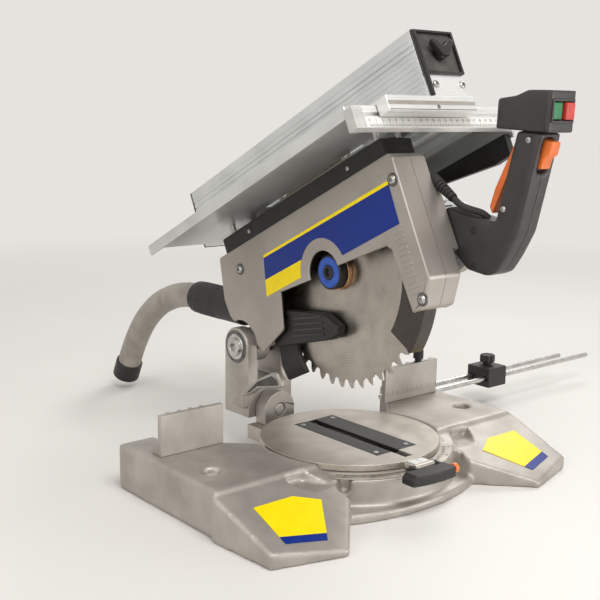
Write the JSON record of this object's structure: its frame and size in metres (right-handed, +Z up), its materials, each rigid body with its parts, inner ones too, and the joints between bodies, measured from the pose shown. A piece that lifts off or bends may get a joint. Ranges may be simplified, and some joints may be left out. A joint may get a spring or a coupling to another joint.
{
  "type": "table mitre saw",
  "caption": "Chop saw on a mitre turntable with a tilting, sprung arm, a small saw table with a rip fence on top of the arm, and side rods with a stop.",
  "frame": {"origin": "on the bench, on the turntable's axis, midway between the bench bolts", "axes": "+X right along the fence as seen from the handle, +Y back towards the hinge, +Z up"},
  "size_m": [0.931, 0.8443, 0.5601],
  "materials": {
    "cast": "sand cast, bead blasted",
    "table": "machined",
    "extruded": "satin extruded",
    "casing": "satin silver paint",
    "steel": "turned",
    "blade": "ground",
    "spring": "wire",
    "black": "matt",
    "rubber": "soft",
    "motor": "satin",
    "hose": "ribbed",
    "orange": "satin",
    "green": "satin",
    "red": "satin",
    "blue": "satin",
    "blue_label": "printed film",
    "yellow_label": "printed film",
    "scale": "printed",
    "copper": "wound",
    "iron": "laminated",
    "guard": "satin"
  },
  "bodies": {
    "base": {"base_casting": "cast", "fence_left": "cast", "fence_right": "cast", "mitre_scale": "scale", "foot_labels": "yellow_label"},
    "fence_stop_knob": {"fence_stop_knob": "black"},
    "turntable": {"turntable": "table", "kerf_insert": "black", "mitre_pointer": "scale", "trunnion": "cast"},
    "mitre_lever": {"mitre_lever": "black"},
    "detent_button": {"detent_button": "orange"},
    "bevel_bracket": {"bevel_bracket": "cast", "hinge_pin": "steel", "return_spring": "spring"},
    "bevel_lever": {"bevel_lever": "black"},
    "arm": {"casing_left": "casing", "casing_right": "casing", "gear_case": "cast", "motor_housing": "motor", "motor_end_cap": "casing", "motor_stator": "iron", "blade_cover": "black", "arm_block": "cast", "casing_label": "blue_label", "casing_screws": "steel", "handle_left": "black", "handle_right": "black", "switch_box": "black", "handle_cable": "rubber", "cable_gland": "rubber", "hose_cuff": "black", "dust_hose": "hose", "hose_end_cuff": "black"},
    "blade": {"saw_blade": "blade", "arbor_flanges": "steel", "arbor_cap": "blue", "spindle": "steel"},
    "motor_rotor": {"motor_rotor": "copper"},
    "lower_guard": {"lower_guard": "guard"},
    "guard_lever": {"guard_lever": "black"},
    "deck": {"deck_plate": "extruded", "deck_rail": "extruded", "deck_ruler": "scale", "deck_side_rail": "black", "deck_columns": "steel"},
    "height_knob": {"height_knob": "black"},
    "rip_fence": {"rip_extrusion": "extruded", "rip_caps": "black", "rip_bracket": "extruded"},
    "rip_wing_knob": {"rip_wing_knob": "black"},
    "trigger": {"trigger": "orange"},
    "lock_latch": {"lock_latch": "orange"},
    "start_button": {"start_button": "green"},
    "stop_button": {"stop_button": "red"},
    "rods": {"extension_rods": "steel"},
    "stop_block": {"stop_block": "black"},
    "stop_knob": {"stop_knob": "black"}
  },
  "joints": [
    {"name": "mitre_turn", "type": "hinge", "parent": "base", "child": "turntable", "pos_m": [0, 0, 0.049], "axis": [0, 0, -1], "range_deg": [-45, 45]},
    {"name": "fence_stop_turn", "type": "hinge", "parent": "base", "child": "fence_stop_knob", "pos_m": [0.205, 0.076, 0.108], "axis": [0, 0, 1], "range_deg": [0, 180]},
    {"name": "mitre_lever_lift", "type": "hinge", "parent": "turntable", "child": "mitre_lever", "pos_m": [0, -0.131, 0.052], "axis": [-1, 0, 0], "range_deg": [0, 10], "stiffness_Nm_per_rad": 0.8, "springref_deg": -5.73},
    {"name": "detent_push", "type": "slide", "parent": "mitre_lever", "child": "detent_button", "axis": [-1, 0, 0], "range_m": [0, 0.003], "stiffness_N_per_m": 400, "springref_m": -0.001},
    {"name": "bevel_tilt", "type": "hinge", "parent": "turntable", "child": "bevel_bracket", "pos_m": [0, 0.164, 0.057], "axis": [0, -1, 0], "range_deg": [0, 45]},
    {"name": "bevel_lever_turn", "type": "hinge", "parent": "bevel_bracket", "child": "bevel_lever", "pos_m": [0, 0.228, 0.057], "axis": [0, -1, 0], "range_deg": [0, 60]},
    {"name": "arm_lower", "type": "hinge", "parent": "bevel_bracket", "child": "arm", "pos_m": [0, 0.194, 0.142], "axis": [1, 0, 0], "range_deg": [0, 26], "stiffness_Nm_per_rad": 30, "springref_deg": -114.59},
    {"name": "blade_spin", "type": "hinge", "parent": "arm", "child": "blade", "pos_m": [0, 0.02349, 0.26689], "axis": [1, 0, 0], "continuous": true},
    {"name": "rotor_spin", "type": "hinge", "parent": "arm", "child": "motor_rotor", "pos_m": [0, -0.00615, 0.30192], "axis": [1, 0, 0], "continuous": true},
    {"name": "guard_swing", "type": "hinge", "parent": "arm", "child": "lower_guard", "pos_m": [0.0115, 0.02349, 0.26689], "axis": [-1, 0, 0], "range_deg": [0, 45]},
    {"name": "guard_lever_swing", "type": "hinge", "parent": "arm", "child": "guard_lever", "pos_m": [-0.013, 0.12464, 0.19141], "axis": [-1, 0, 0], "range_deg": [0, 8], "stiffness_Nm_per_rad": 3, "springref_deg": -11.46},
    {"name": "deck_lift", "type": "slide", "parent": "arm", "child": "deck", "axis": [0, 0.4384, 0.8988], "range_m": [0, 0.03]},
    {"name": "height_knob_turn", "type": "hinge", "parent": "arm", "child": "height_knob", "pos_m": [0.04, 0.20978, 0.26559], "axis": [1, 0, 0], "range_deg": [0, 180]},
    {"name": "rip_slide", "type": "slide", "parent": "deck", "child": "rip_fence", "axis": [1, 0, 0], "range_m": [0, 0.085]},
    {"name": "wing_knob_turn", "type": "hinge", "parent": "rip_fence", "child": "rip_wing_knob", "pos_m": [0.04, -0.09367, 0.53309], "axis": [0, -0.8988, 0.4384], "range_deg": [0, 180]},
    {"name": "trigger_pull", "type": "hinge", "parent": "arm", "child": "trigger", "pos_m": [0.054, -0.21649, 0.44159], "axis": [-1, 0, 0], "range_deg": [0, 6], "stiffness_Nm_per_rad": 1, "springref_deg": -11.46},
    {"name": "latch_slide", "type": "slide", "parent": "arm", "child": "lock_latch", "axis": [0, 0.2286, -0.9735], "range_m": [0, 0.005], "stiffness_N_per_m": 300, "springref_m": -0.002},
    {"name": "start_push", "type": "slide", "parent": "arm", "child": "start_button", "axis": [0, 0.999, 0.0445], "range_m": [0, 0.003], "stiffness_N_per_m": 400, "springref_m": -0.001},
    {"name": "stop_push", "type": "slide", "parent": "arm", "child": "stop_button", "axis": [0, 0.999, 0.0445], "range_m": [0, 0.003], "stiffness_N_per_m": 400, "springref_m": -0.001},
    {"name": "rods_slide", "type": "slide", "parent": "base", "child": "rods", "axis": [1, 0, 0], "range_m": [0, 0.03]},
    {"name": "stop_slide", "type": "slide", "parent": "rods", "child": "stop_block", "axis": [1, 0, 0], "range_m": [-0.1, 0.1]},
    {"name": "stop_knob_turn", "type": "hinge", "parent": "stop_block", "child": "stop_knob", "pos_m": [0.417, 0.121, 0.07], "axis": [0, 0, 1], "range_deg": [0, 180]}
  ],
  "couplings": [
    {"joint": "rotor_spin", "follows": "blade_spin", "ratio": -1.9363},
    {"joint": "guard_swing", "follows": "arm_lower", "ratio": 1.73}
  ]
}
